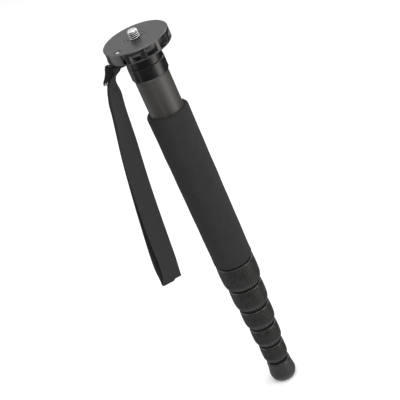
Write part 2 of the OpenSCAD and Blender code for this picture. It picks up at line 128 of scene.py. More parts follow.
def makeFloor():
    half = studio["floorSize"] / 2
    mesh = bpy.data.meshes.new("floor")
    corners = [(-half, -half, 0), (half, -half, 0), (half, half, 0), (-half, half, 0)]
    mesh.from_pydata(corners, [], [(0, 1, 2, 3)])
    floor = bpy.data.objects.new("floor", mesh)
    bpy.context.scene.collection.objects.link(floor)
    paper = bpy.data.materials.new("floorPaper")
    paper.use_nodes = True
    shader = paper.node_tree.nodes["Principled BSDF"]
    shader.inputs["Base Color"].default_value = studio["floorColour"]
    shader.inputs["Roughness"].default_value = 1.0
    shader.inputs["Specular IOR Level"].default_value = 0.0
    mesh.materials.append(paper)
    floor.visible_glossy = False  # upright shiny parts mirror the soft boxes, not the paper
    floor.visible_shadow = False


# dim just below the horizon, full above it, bright again straight below, as over a lit table
def makeSky():
    world = bpy.data.worlds.new("studioSky")
    bpy.context.scene.world = world
    world.use_nodes = True
    tree = world.node_tree
    sky = tree.nodes["Background"]
    sky.inputs["Color"].default_value = studio["skyColour"]
    place = tree.nodes.new("ShaderNodeTexCoord")
    split = tree.nodes.new("ShaderNodeSeparateXYZ")
    tree.links.new(place.outputs["Generated"], split.inputs[0])

    def level(between, low, high):  # strength that runs from low to high between two heights
        node = tree.nodes.new("ShaderNodeMapRange")
        for key, value in zip(("From Min", "From Max", "To Min", "To Max"), (*between, low, high)):
            node.inputs[key].default_value = value
        tree.links.new(split.outputs["Z"], node.inputs["Value"])
        return node.outputs[0]

    def joined(operation, a, b):
        node = tree.nodes.new("ShaderNodeMath")
        node.operation = operation
        tree.links.new(a, node.inputs[0])
        tree.links.new(b, node.inputs[1])
        return node.outputs[0]

    total = joined("ADD", level(studio["horizon"], studio["underStrength"], studio["skyStrength"]),
                   level(studio["below"], studio["groundStrength"], 0.0))
    seen = tree.nodes.new("ShaderNodeLightPath").outputs["Is Camera Ray"]
    plain = joined("MAXIMUM", total, seen)  # the backdrop itself is evenly pale, whatever it lights
    tree.links.new(plain, sky.inputs["Strength"])


def makeStudio():
    makeFloor()
    makeSky()
    for name, box in studio["boxes"].items():
        softBox(name, *box)
    view = bpy.context.scene.view_settings
    view.view_transform, view.look, view.exposure, view.gamma = "Standard", "None", 0, 1


makeCamera()
makeStudio()
print("camera and studio ready")


# mesh helpers: quads over a grid of points, whose columns close and whose rows may
def gridFaces(rows, columns, closeRows):
    r, c = np.meshgrid(np.arange(rows - (not closeRows)), np.arange(columns), indexing="ij")
    r, c = r.ravel(), c.ravel()
    corners = [(r, c), (r, c + 1), (r + 1, c + 1), (r + 1, c)]
    return corners, np.stack([(a % rows) * columns + b % columns for a, b in corners], 1)


def shown(name, mesh):  # a smooth-shaded object at the origin
    mesh.polygons.foreach_set("use_smooth", np.ones(len(mesh.polygons), bool))
    piece = bpy.data.objects.new(name, mesh)
    bpy.context.scene.collection.objects.link(piece)
    return piece


# puts a grid of points into a mesh, caps open ends, turns the faces outwards and merges poles
def surface(name, points, closeRows=False, cap=False, uv=None, sharp=32, marks=None):
    rows, columns = points.shape[:2]
    corners, quads = gridFaces(rows, columns, closeRows)
    flat = points.reshape(-1, 3)
    p = flat[quads]
    inward = (np.cross(p[:, 1] - p[:, 0], p[:, 3] - p[:, 0]) * (p[:, 0] - flat.mean(0))).sum() < 0
    faces = quads[:, ::-1] if inward else quads
    order = corners[::-1] if inward else corners
    ends = [np.arange(columns), (rows - 1) * columns + np.arange(columns)[::-1]] if cap else []
    ends = [end[::-1] if inward else end for end in ends]
    mesh = bpy.data.meshes.new(name)
    mesh.from_pydata(flat, [], faces.tolist() + [end[::-1].tolist() for end in ends])
    if uv is not None:  # one more row or column of uv than points where a direction closes
        layer = mesh.uv_layers.new(name="surface")
        loops = np.zeros((len(mesh.loops), 2), np.float32)
        loops[: quads.size] = np.stack([uv[a, b] for a, b in order], 1).reshape(-1, 2)
        layer.data.foreach_set("uv", loops.ravel())
    for key, values in (marks or {}).items():
        mark = mesh.attributes.new(key, "FLOAT", "POINT")
        mark.data.foreach_set("value", values.astype(np.float32).ravel())
    work = bmesh.new()
    work.from_mesh(mesh)
    bmesh.ops.remove_doubles(work, verts=work.verts, dist=1e-7)
    work.to_mesh(mesh)
    work.free()
    piece = shown(name, mesh)
    mesh.set_sharp_from_angle(angle=math.radians(sharp))
    return piece


# a profile of radii and heights carried round the Z axis; radii may be one column or vary with the angle
def turned(name, radii, heights, count, closed=True, **more):
    angle = np.arange(count) * 2 * np.pi / count
    r = np.broadcast_to(radii if np.ndim(radii) == 2 else np.asarray(radii)[:, None], (len(heights), count))
    z = np.broadcast_to(np.asarray(heights)[:, None], r.shape)
    points = np.stack([r * np.cos(angle), r * np.sin(angle), z], -1)
    return surface(name, points, closeRows=closed, **more)


def ease(low, high, x):  # smooth step from 0 at low to 1 at high
    t = np.clip((x - low) / (high - low), 0, 1)
    return t * t * (3 - 2 * t)


def rounded(r, gap, size):  # draws a profile in along a quarter-round at the end that lies gap away
    inside = np.maximum(size - gap, 0)
    return r - (size - np.sqrt(np.maximum(size ** 2 - inside ** 2, 0)))


def nodePoints(name):
    data = nodes[name].data
    co = np.zeros(len(data.vertices) * 3, np.float32)
    data.vertices.foreach_get("co", co)
    return co.reshape(-1, 3).astype(float)


def nodeRadius(name):  # largest distance from the Z axis
    return np.hypot(*nodePoints(name)[:, :2].T).max()


def settle(piece, body, slot, material, *stoodFor):
    piece.data.materials.append(material)
    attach(piece, body)
    if stoodFor:
        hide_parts(*stoodFor)


# material helpers
class Finish:
    def __init__(self, name, **sockets):
        self.material = bpy.data.materials.new(name)
        self.material.use_nodes = True
        self.tree = self.material.node_tree
        self.shader = self.tree.nodes["Principled BSDF"]
        for key, value in sockets.items():
            self.shader.inputs[key.replace("_", " ")].default_value = value
        self.coords = self.tree.nodes.new("ShaderNodeTexCoord")

    def add(self, kind, **inputs):
        node = self.tree.nodes.new("ShaderNode" + kind)
        for key, value in inputs.items():
            self.put(value, node.inputs[key.replace("_", " ")])
        return node

    def put(self, value, socket):
        if isinstance(value, bpy.types.NodeSocket):
            self.tree.links.new(value, socket)
        else:
            socket.default_value = value

    def maths(self, operation, *values):
        node = self.tree.nodes.new("ShaderNodeMath")
        node.operation = operation
        for value, socket in zip(values, node.inputs):
            self.put(value, socket)
        return node.outputs[0]

    def place(self, scale, source="Object"):
        return self.add("Mapping", Vector=self.coords.outputs[source], Scale=scale).outputs[0]

    def height(self):
        return self.add("SeparateXYZ", Vector=self.coords.outputs["Object"]).outputs["Z"]

    def mixed(self, a, share, b):  # weighted mean of two patterns
        return self.maths("MULTIPLY_ADD", a, share, self.maths("MULTIPLY", b, 1 - share))

    def noise(self, scale, detail=3.0, rough=0.55, vector=None):
        vector = vector or self.coords.outputs["Object"]
        return self.add("TexNoise", Vector=vector, Scale=scale, Detail=detail, Roughness=rough).outputs["Fac"]

    def mark(self, name):  # a value kept on the mesh's own points
        node = self.add("Attribute")
        node.attribute_name = name
        return node.outputs["Fac"]

    def ramp(self, value, *stops):
        node = self.add("ValToRGB", Fac=value)
        ends = node.color_ramp.elements
        while len(ends) < len(stops):
            ends.new(0.5)
        for end, (at, colour) in zip(ends, stops):
            end.position = at
            end.color = (*colour, 1) if np.ndim(colour) else (colour, colour, colour, 1)
        return node.outputs[0]

    def span(self, value, low, high, fromLow=0.0, fromHigh=1.0):
        node = self.tree.nodes.new("ShaderNodeMapRange")
        keys = ("Value", "From Min", "From Max", "To Min", "To Max")
        for key, x in zip(keys, (value, fromLow, fromHigh, low, high)):
            self.put(x, node.inputs[key])
        return node.outputs[0]

    def colour(self, value):
        self.put(value, self.shader.inputs["Base Color"])

    def rough(self, value):
        self.put(value, self.shader.inputs["Roughness"])

    # height in metres to a bump, over rounded edges where a radius is given
    def bump(self, height, distance, strength=1.0, edge=None):
        node = self.add("Bump", Height=height, Distance=distance, Strength=strength)
        if edge:
            bevel = self.add("Bevel", Radius=edge)
            bevel.samples = 8
            self.tree.links.new(bevel.outputs[0], node.inputs["Normal"])
        self.tree.links.new(node.outputs[0], self.shader.inputs["Normal"])


def plateMetal():  # bead-blasted grey anodising, a little lighter where hands rub it
    f = Finish("plateMetal", Metallic=1.0)
    cloud, grain = f.noise(55, 4), f.noise(5200, 2)
    tone = f.mixed(grain, 0.35, cloud)
    f.colour(f.ramp(tone, (0.3, (0.100, 0.099, 0.100)), (0.7, (0.124, 0.123, 0.124))))
    f.rough(f.span(grain, 0.33, 0.43, 0.3, 0.7))
    f.bump(grain, 0.00004, 0.35, edge=0.0009)
    return f.material


def studSteel():  # bright turned steel with fine lathe lines round the axis; painted shade darkens the thread valleys
    f = Finish("studSteel", Metallic=1.0)
    lines = f.noise(1, 3, vector=f.place((300, 300, 9000)))
    # painted shade: near black down in the thread valleys
    threadShade = f.span(f.mark("valley"), 1.0, 0.02)
    f.colour(f.ramp(f.maths("MULTIPLY", threadShade, f.span(lines, 0.8, 1.0, 0.3, 0.7)), (0.0, 0.0), (1.0, 0.8)))
    f.rough(f.span(lines, 0.2, 0.34, 0.3, 0.7))
    f.bump(lines, 0.00001, 0.3)
    return f.material


def screwSteel():  # bright head in the plate, dark from just above the plate's underside down to the end
    f = Finish("screwSteel", Metallic=1.0)
    height = f.height()
    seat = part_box("camera_plate")[0].z
    lines = f.noise(1, 3, vector=f.place((400, 400, 6000)))
    bright = f.span(height, 0.03, 0.72, seat + 1 * mm, seat + 4 * mm)
    f.colour(f.ramp(f.maths("MULTIPLY", bright, f.span(lines, 0.85, 1.0, 0.3, 0.7)), (0.0, 0.0), (1.0, 1.0)))
    f.rough(f.span(lines, 0.2, 0.34, 0.3, 0.7))
    f.bump(lines, 0.00001, 0.3)
    return f.material


def neckBlack():  # satin black anodising
    f = Finish("neckBlack", Metallic=1.0)
    grain, cloud = f.noise(4200, 2), f.noise(70, 4)
    f.colour(f.ramp(cloud, (0.3, 0.066), (0.7, 0.084)))
    f.rough(f.span(grain, 0.32, 0.42, 0.3, 0.7))
    f.bump(grain, 0.00002, 0.2, edge=0.0003)
    return f.material


def collarGloss():  # polished black, with faint handling haze
    f = Finish("collarGloss", Metallic=1.0)
    haze = f.noise(160, 5, 0.65)
    f.colour(f.ramp(haze, (0.3, 0.078), (0.7, 0.094)))
    f.rough(f.span(haze, 0.33, 0.42, 0.35, 0.7))
    f.bump(haze, 0.00001, 0.15, edge=0.00035)
    return f.material


def carbonTube():  # long fine strands along the tube, under satin lacquer
    f = Finish("carbonTube", Specular_IOR_Level=1.0)
    strands = f.noise(1, 4, 0.6, vector=f.place((700, 700, 9)))
    cloud = f.noise(1, 3, vector=f.place((90, 90, 26)))
    tone = f.mixed(strands, 0.6, cloud)
    f.colour(f.ramp(tone, (0.36, (0.022, 0.0205, 0.018)), (0.64, (0.046, 0.043, 0.038))))
    f.rough(f.span(tone, 0.42, 0.52, 0.35, 0.65))
    f.bump(strands, 0.00002, 0.2)
    return f.material


def gripFoam():  # closed-cell foam: pin-hole cells, soft mottling
    f = Finish("gripFoam", Roughness=0.95, Specular_IOR_Level=0.1)
    cells = f.add("TexVoronoi", Vector=f.coords.outputs["Object"], Scale=2300.0).outputs["Distance"]
    mottle = f.noise(120, 5, 0.6)
    f.colour(f.ramp(f.mixed(cells, 0.35, mottle), (0.25, 0.0205), (0.7, 0.0295)))
    f.rough(f.span(mottle, 0.86, 0.98, 0.3, 0.7))
    f.bump(f.maths("MULTIPLY_ADD", mottle, 0.5, cells), 0.00012, 0.55)
    return f.material


def ringRubber():  # satin rubber on the ribs, smoother on the moulded lips, with painted shade at the heel, the top rim and inside
    f = Finish("ringRubber", Specular_IOR_Level=0.5, Sheen_Weight=0.12, Sheen_Roughness=0.3)
    lip, inside = f.mark("lip"), f.mark("inside")
    grain, dust = f.noise(3600, 3), f.noise(210, 5, 0.65)
    # painted shade: the 'inside' mark darkens the rubber towards black at the heel, the top rim and inside
    tone = f.maths("MULTIPLY", f.span(dust, 0.35, 1.0, 0.3, 0.72), f.span(inside, 1.0, 0.0))
    f.colour(f.ramp(tone, (0.0, 0.0015), (1.0, (0.0245, 0.0241, 0.0230))))
    gloss = f.maths("MULTIPLY", f.maths("SUBTRACT", lip, inside), 0.26)
    f.rough(f.maths("SUBTRACT", f.span(grain, 0.40, 0.52, 0.3, 0.7), gloss))
    f.bump(grain, 0.00004, 0.3)
    return f.material


def ringHeelShade():  # painted shade: the drawn-in underside and the inside of a ring, a dull, nearly black copy of the rubber
    dull = (0.004, 0.004, 0.004, 1)
    return Finish("ringHeelShade", Base_Color=dull, Roughness=0.8, Specular_IOR_Level=0.08).material


def footRubber():  # smooth moulded rubber, scuffed grey towards the ground
    f = Finish("footRubber", Specular_IOR_Level=0.5, Sheen_Weight=0.08, Sheen_Roughness=0.3)
    height = f.height()
    scuff = f.maths("MULTIPLY", f.span(height, 1.0, 0.0, 0.0, 0.007), f.noise(650, 5, 0.7))
    grain = f.noise(2600, 3)
    f.colour(f.ramp(f.maths("MULTIPLY_ADD", grain, 0.25, scuff), (0.1, 0.022), (0.8, 0.056)))
    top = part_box("rubber_foot")[1].z
    gloss = f.span(height, 0.0, 0.3, top - 3 * mm, top - 2 * mm)
    f.rough(f.maths("SUBTRACT", f.span(f.maths("ADD", grain, scuff), 0.5, 0.75, 0.3, 1.2), gloss))
    f.bump(f.maths("MULTIPLY_ADD", scuff, 0.8, grain), 0.00005, 0.35)
    return f.material


def innerMetal(name, dark, light, low, high):  # turned alloy of the parts inside the locks and the foot
    f = Finish(name, Metallic=0.9)
    lines, cloud = f.noise(1, 3, vector=f.place((240, 240, 7000))), f.noise(90, 4)
    f.colour(f.ramp(f.mixed(lines, 0.6, cloud), (0.3, dark), (0.7, light)))
    f.rough(f.span(lines, low, high, 0.3, 0.7))
    f.bump(lines, 0.00002, 0.25, edge=0.0002)
    return f.material


def innerPlastic(name, dark, light):  # plain moulded plastic of the collets and shims
    f = Finish(name, Specular_IOR_Level=0.45)
    grain, cloud = f.noise(2400, 3), f.noise(140, 4)
    f.colour(f.ramp(cloud, (0.3, dark), (0.7, light)))
    f.rough(f.span(grain, 0.4, 0.55, 0.3, 0.7))
    f.bump(grain, 0.00003, 0.25)
    return f.material


def webbingCloth(name, dark, light, sheen):  # plain weave on the strip's own map, which is in millimetres
    f = Finish(name, Roughness=0.85, Specular_IOR_Level=0.2, Sheen_Weight=sheen, Sheen_Roughness=0.45)
    split = f.add("SeparateXYZ", Vector=f.coords.outputs["UV"])
    along = f.maths("MULTIPLY", split.outputs["X"], math.pi / 0.62)
    across = f.maths("MULTIPLY", split.outputs["Y"], math.pi / 0.85)
    weave = f.maths("MULTIPLY", f.maths("SINE", along), f.maths("SINE", across))
    yarn = f.noise(1, 3, vector=f.place((0.9, 7.0, 1), source="UV"))
    height = f.maths("MULTIPLY_ADD", weave, 0.5, yarn)
    f.colour(f.ramp(height, (0.15, dark), (0.9, light)))
    f.rough(f.span(yarn, 0.74, 0.92, 0.3, 0.7))
    f.bump(height, 0.00012, 0.6)
    return f.material


def sewingThread():
    f = Finish("sewingThread", Specular_IOR_Level=0.2)
    twist = f.noise(2600, 2)
    f.colour(f.ramp(twist, (0.3, 0.012), (0.7, 0.03)))
    f.rough(f.span(twist, 0.55, 0.75, 0.3, 0.7))
    f.bump(twist, 0.00004, 0.4)
    return f.material


finishes = dict(
    plate_metal=plateMetal(), stud_steel=studSteel(), neck_black=neckBlack(), collar_gloss=collarGloss(),
    carbon=carbonTube(), grip_foam=gripFoam(), ring_rubber=ringRubber(), heel=ringHeelShade(),
    foot_rubber=footRubber(), screw_steel=screwSteel(),
    ring_metal=innerMetal("ringMetal", 0.006, 0.014, 0.4, 0.55),
    foot_metal=innerMetal("footMetal", 0.42, 0.55, 0.25, 0.4),
    link_steel=innerMetal("linkSteel", 0.02, 0.05, 0.3, 0.45),
    collet_plastic=innerPlastic("colletPlastic", 0.55, 0.66),
    shim_plastic=innerPlastic("shimPlastic", 0.010, 0.018),
    webbing=webbingCloth("webbingCloth", 0.014, 0.029, 0.1),
    # the fold's cloth: the webbing made nearly black, as painted shade
    flapShade=webbingCloth("webbingShade", 0.003, 0.008, 0.0), thread=sewingThread(),
)
for part in frame["record"]["subparts"]:  # the solids that stay take the finish of their own slot
    held = nodes[part["node"]].data.materials
    held.clear()
    held.append(finishes[part["material_slot"]])
print("finishes:", len(finishes))

# threaded studs: root radius plus a V of thread depth that climbs one pitch a turn, rounded in at the tip
studs = {
    "pitch": 1.5875 * mm, "depth": 0.86 * mm, "sparePitch": 1.27 * mm, "spareDepth": 0.7 * mm, "perPitch": 14,
    "tip": 2.1 * mm, "dimple": 1.0 * mm, "dimpleStep": 0.15 * mm, "dimpleDepth": 0.35 * mm, "around": 96,
    "flange": 2.5 * mm, "sunk": 1.0 * mm, "lap": 1.4 * mm, "edge": 0.4 * mm, "hair": 1e-5,
    "slotInner": 5.1 * mm, "slotOuter": 7.25 * mm, "slotHalf": 9.3, "slotTurn": 140.0, "slotDepth": 1.2 * mm,
}


def threadedRod(name, radius, low, high, pitch, depth, tipUp):
    around, tip = studs["around"], studs["tip"]
    z = np.linspace(low, high, int((high - low) / (pitch / studs["perPitch"])))
    angle = np.arange(around) * 2 * np.pi / around
    phase = (z[:, None] / pitch - angle / (2 * np.pi)) % 1
    vee = np.clip(1.35 * (1 - np.abs(2 * phase - 1)) - 0.18, 0, 1)
    end = (high - z if tipUp else z - low)[:, None]
    limit = rounded(radius, end, tip)
    r = np.minimum(radius - depth + depth * vee, limit)
    # the valley mark carries painted shade into the steel's colour
    valley = np.where(end < tip * 0.9, 0, 1 - ease(0.3, 1.0, vee))
    # flat ends, with a centre-drill dimple in the middle of the upper one
    endR = studs["dimple"] * np.array([1, 0.9, 0.0])
    endZ = np.array([0.0, -studs["dimpleStep"], -studs["dimpleDepth"]]) * tipUp
    blocks = [([low], np.zeros(1)), (z, r), (high + endZ, endR)]
    if not tipUp:
        blocks = [(low - endZ, endR[::-1]), (z, r), ([high], np.zeros(1))]
    heights = np.concatenate([at for at, _ in blocks])
    radii = np.vstack([size if size is r else np.tile(size[:, None], (1, around)) for _, size in blocks])
    valley = np.vstack([valley if size is r else np.zeros((len(at), around)) for at, size in blocks])
    return turned(name, radii, heights, around, closed=False, sharp=50, marks={"valley": valley})


# stud flange: a flat ring whose top drops by the slot depth inside two short sectors
def studFlange(low, high, inner, outer):
    edge, hair, half = studs["edge"], studs["hair"], math.radians(studs["slotHalf"])
    slotIn, slotOut = studs["slotInner"], studs["slotOuter"]
    curl = np.linspace(0, np.pi / 2, 5)
    r = np.concatenate([[inner, slotIn - hair, slotIn + hair, slotOut - hair, slotOut + hair],
                        outer - edge * (1 - np.sin(curl))])
    lift = np.concatenate([np.zeros(5), -edge * (1 - np.cos(curl))])
    sides = [half - 1e-3, half + 1e-3, -half - 1e-3, -half + 1e-3]
    halfTurn = np.sort(np.concatenate([np.linspace(-np.pi / 2, np.pi / 2, 61)[:-1], sides]))
    angle = np.concatenate([halfTurn, halfTurn + np.pi])
    count = len(angle)
    inSector = np.abs((angle + np.pi / 2) % np.pi - np.pi / 2) < half
    inSlot = inSector[None] & ((r > slotIn) & (r < slotOut))[:, None]
    z = high + lift[:, None] - studs["slotDepth"] * inSlot
    radii = np.tile(np.append(r, [outer, outer, inner])[:, None], (1, count))
    heights = np.vstack([z, np.full((1, count), high - edge * 1.5), np.full((2, count), low)])
    angle = angle + math.radians(studs["slotTurn"])
    points = np.stack([radii * np.cos(angle), radii * np.sin(angle), heights], -1)
    return surface("studFlange", points, closeRows=True)


def makeStuds():  # sizes and places come from the solid
    low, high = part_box("camera_stud")
    plateTop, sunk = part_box("camera_plate")[1].z, studs["sunk"]
    flangeR, flangeLow = nodeRadius("camera_stud"), plateTop - studs["flange"]
    points = nodePoints("camera_stud")
    radius = np.hypot(*points[points[:, 2] > plateTop + sunk][:, :2].T).max()
    spare = np.hypot(*points[points[:, 2] < flangeLow - sunk][:, :2].T).max()
    upper = threadedRod("studThread", radius, plateTop - sunk, high.z, studs["pitch"], studs["depth"], True)
    lower = threadedRod("spareThread", spare, low.z, flangeLow + sunk,
                        studs["sparePitch"], studs["spareDepth"], False)
    flange = studFlange(flangeLow, plateTop, radius - studs["lap"], flangeR)
    settle(upper, "stud", "stud_steel", finishes["stud_steel"], "camera_stud")
    settle(lower, "stud", "stud_steel", finishes["stud_steel"])
    settle(flange, "stud", "plate_metal", finishes["plate_metal"])


# strap screw: a profile of flange, shank and low domed head that ends in a six-sided recess
screw = {
    "at": (-24.5 * mm, 0.0), "flange": 0.8 * mm, "shank": 1.5 * mm, "head": 2.5 * mm, "headHeight": 2.0 * mm,
    "sunk": 0.4 * mm, "dome": 0.7 * mm, "flats": 1.2 * mm, "deep": 0.9 * mm, "rim": 0.1 * mm, "around": 72,
}


def makeScrew():
    low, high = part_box("strap_screw")
    top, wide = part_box("camera_plate")[1].z - screw["sunk"], (high.x - low.x) / 2
    collar, seat = low.z + screw["flange"], high.z - screw["headHeight"]
    angle = np.arange(screw["around"]) * 2 * np.pi / screw["around"]
    hexagon = screw["flats"] / np.cos(angle % (np.pi / 3) - np.pi / 6)
    t = np.linspace(0, 1, 9)[:, None]
    crown = screw["head"] + (hexagon * 1.04 - screw["head"]) * t  # from the head's edge in to the recess
    stem = np.array([0, wide, wide, screw["shank"], screw["shank"], screw["head"]])[:, None] + 0 * angle
    radii = np.vstack([stem, crown, hexagon[None], 0.6 * hexagon[None], 0 * angle[None]])
    heights = np.concatenate([
        [low.z, low.z, collar, collar, seat, seat], top - screw["dome"] * (1 - t[:, 0]) ** 2,
        top - np.array([screw["rim"], screw["deep"], screw["deep"]])])
    x, y = screw["at"]
    z = np.broadcast_to(heights[:, None], radii.shape)
    points = np.stack([x + radii * np.cos(angle), y + radii * np.sin(angle), z], -1)
    piece = surface("strapScrew", points, sharp=40)
    settle(piece, "upper", "stud_steel", finishes["screw_steel"], "strap_screw")


makeStuds()
makeScrew()
print("studs and screw made")

# foam grip: a tube of foam that widens evenly upwards, with rounded ends and slow swells along and round it
grip = {
    "trim": 0.4 * mm, "topRound": 3.0 * mm, "bottomRound": 1.2 * mm, "lowBand": 4.0 * mm,
    "swell": 0.12 * mm, "around": 160, "along": 150,
}


def makeGrip():
    low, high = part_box("foam_grip")
    points = nodePoints("foam_grip")
    bore = np.hypot(*points[:, :2].T).min()
    topR = nodeRadius("foam_grip")
    lowR = np.hypot(*points[points[:, 2] < low.z + grip["lowBand"]][:, :2].T).max()
    low.z += grip["trim"]
    z = np.sort(np.concatenate([
        np.linspace(low.z, high.z, grip["along"]),
        high.z - np.geomspace(0.02, 3.2, 14) * mm, low.z + np.geomspace(0.02, 1.3, 8) * mm]))
    share = (z - low.z) / (high.z - low.z)
    r = lowR + (topR - lowR) * share
    r = rounded(rounded(r, high.z - z, grip["topRound"]), z - low.z, grip["bottomRound"])
    angle = np.arange(grip["around"]) * 2 * np.pi / grip["around"]
    swell = (np.sin(share * 19 + 0.7)[:, None] * np.cos(angle - 1.1)
             + np.sin(share * 33 + 2)[:, None] * np.cos(2 * angle + 0.4))
    fade = (ease(0, 0.05, share) * ease(0, 0.05, 1 - share))[:, None]
    outer = r[:, None] + grip["swell"] * swell * fade - grip["swell"] * fade * 1.3
    radii = np.vstack([outer, np.full((2, grip["around"]), bore)])
    heights = np.concatenate([z, [high.z, low.z]])
    piece = turned("foamGrip", radii, heights, grip["around"], sharp=40)
    settle(piece, "upper", "grip_foam", finishes["grip_foam"], "foam_grip")


makeGrip()
print("foam grip made")

# lock ring rubbers: a barrel arc drawn in at the heel, rounded lips, and round-bottomed grooves below the
# top lip, as deep as the rubber over the ring's metal cone allows
rings = {
    "wall": 3.5 * mm, "drop": 0.7 * mm, "belly": 0.58, "heel": 2.6 * mm, "heelHeight": 7.4 * mm,
    "heelCurve": 1.35, "soft": 0.25 * mm, "rubber": 1.3 * mm, "skin": 0.15 * mm, "slack": 0.05 * mm,
    "core": 0.35 * mm, "bore": 0.3 * mm, "topSkin": 1.55 * mm, "funnel": 1.4 * mm, "trim": 1.0 * mm,
    "topLip": 1.3 * mm, "lipRound": 0.9 * mm, "lowRound": 0.6 * mm,
    "groove": 0.6 * mm, "grooveSide": (0.08, 0.40), "pitch": 2.75 * mm, "perRib": 14,
    # heights and strengths of the painted shade at the heel and on the top rim row
    "dull": 0.6 * mm, "shadeStrength": 0.55, "shadeFade": (0.3 * mm, 3.5 * mm), "rimShade": 0.7,
}


def makeRing(i):
    low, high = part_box(f"ring_grip_{i}")
    tubeR, lip = nodeRadius(f"tube_{i}"), rings["topLip"]
    ringR, height = tubeR + rings["wall"], high.z - low.z
    base = low.z
    low.z += rings["trim"]
    z = np.concatenate([
        high.z - np.linspace(0, 0.9, 9) ** 1.5 * mm, np.linspace(high.z - 1.1 * mm, low.z + 1.1 * mm, 54),
        low.z + np.linspace(0.9, 0, 9) ** 1.5 * mm])
    up, down = high.z - z, z - low.z
    bellyZ = base + height * rings["belly"]
    rise = high.z - bellyZ
    arcR = (rise ** 2 + rings["drop"] ** 2) / (2 * rings["drop"])
    barrel = ringR - arcR + np.sqrt(arcR ** 2 - (z - bellyZ) ** 2)
    drawn = np.clip(1 - (z - base) / rings["heelHeight"], 0, 1) ** rings["heelCurve"]
    heel = ringR - rings["heel"] * drawn
    soft = rings["soft"]
    r = -soft * np.logaddexp(-barrel / soft, -heel / soft)  # soft minimum of the two curves
    r = rounded(rounded(r, up, rings["lipRound"]), down, rings["lowRound"])
    count = int(round(2 * math.pi * ringR / rings["pitch"])) * rings["perRib"]
    phase = np.abs((np.arange(count) / rings["perRib"]) % 1 - 0.5) * 2
    groove = 1 - ease(*rings["grooveSide"], 1 - phase)
    coreR, taper = ringR - rings["rubber"], rings["heelHeight"] - rings["rubber"]
    cone = np.interp([*(z - base), rings["trim"]], [0, taper], [tubeR + rings["core"], coreR])
    spare = r - cone[:-1] - rings["skin"]  # rubber to cut the grooves into
    deep = np.clip(spare, 0, rings["groove"]) * ease(lip - 0.3 * mm, lip + 0.5 * mm, up)
    outer = r[:, None] - deep[:, None] * groove
    wideR, boreR, skinZ = coreR + rings["slack"], tubeR + rings["bore"], high.z - rings["topSkin"]
    innerR = np.array([cone[-1], wideR, wideR, boreR, boreR])
    innerZ = np.array([low.z, base + taper, skinZ, skinZ, high.z - rings["funnel"]])
    radii = np.vstack([outer, np.tile(innerR[:, None], (1, count))])
    heights = np.concatenate([z, innerZ])
    glossy = 1 - ease(lip - 0.2 * mm, lip + 0.4 * mm, up)
    # painted shade: darkest low on the drawn-in heel and fading upwards, the top rim row darkened too, the
    # inside rows fully
    shadeMark = rings["shadeStrength"] * (1 - ease(*rings["shadeFade"], down))
    shadeMark[0] = rings["rimShade"]
    marks = {"lip": glossy, "inside": shadeMark}
    marks = {key: np.repeat(np.append(value, np.ones(len(innerZ))), count) for key, value in marks.items()}
    piece = turned(f"ringRubber_{i}", radii, heights, count, sharp=42, marks=marks)
    settle(piece, f"lock_{i}", "ring_rubber", finishes["ring_rubber"], f"ring_grip_{i}")
    # painted shade: the lowest rows and the inside take the near-black copy of the rubber
    piece.data.materials.append(finishes["heel"])
    under = heights < low.z + rings["dull"]  # the lowest rows and the inside, up to the sloping mouth
    under[len(z):-1] = True
    under[-1] = False
    piece.data.polygons.foreach_set("material_index", np.repeat(under, count).astype(np.int32))


for i in range(1, 6):
    makeRing(i)
print("lock rings made")

# rubber foot: quarter-round up to the belly, an easy sweep in to the top, a fine bead round the collar
foot = {
    "base": 8.5 * mm, "belly": 13.3 * mm, "bellyZ": 8.5 * mm, "top": 11.8 * mm, "sweep": 1.6,
    "bead": 0.28 * mm, "beadDrop": 2.3 * mm, "beadWide": 0.42 * mm, "lipRound": 0.6 * mm,
    "socket": 8.3 * mm, "socketZ": 11.1 * mm, "around": 144,
}


def makeFoot():
    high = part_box("rubber_foot")[1]
    a = np.linspace(0, np.pi / 2, 22)
    lowR = foot["base"] + (foot["belly"] - foot["base"]) * np.sin(a)
    lowZ = foot["bellyZ"] * (1 - np.cos(a))
    t = np.linspace(0, 1, 60)[1:]
    topR = foot["top"] + (foot["belly"] - foot["top"]) * (1 - t) ** foot["sweep"]
    topZ = foot["bellyZ"] + (high.z - foot["bellyZ"]) * t
    topR = topR + foot["bead"] * np.exp(-((topZ - high.z + foot["beadDrop"]) / foot["beadWide"]) ** 2)
    topR = rounded(topR, high.z - topZ, foot["lipRound"])
    radii = np.concatenate([[0.0], lowR, topR, [foot["socket"], foot["socket"], 0.0]])
    heights = np.concatenate([[0.0], lowZ, topZ, [high.z, foot["socketZ"], foot["socketZ"]]])
    piece = turned("footRubber", radii, heights, foot["around"], closed=False, sharp=40)
    settle(piece, "foot", "foot_rubber", finishes["foot_rubber"], "rubber_foot")


makeFoot()
print("foot made")

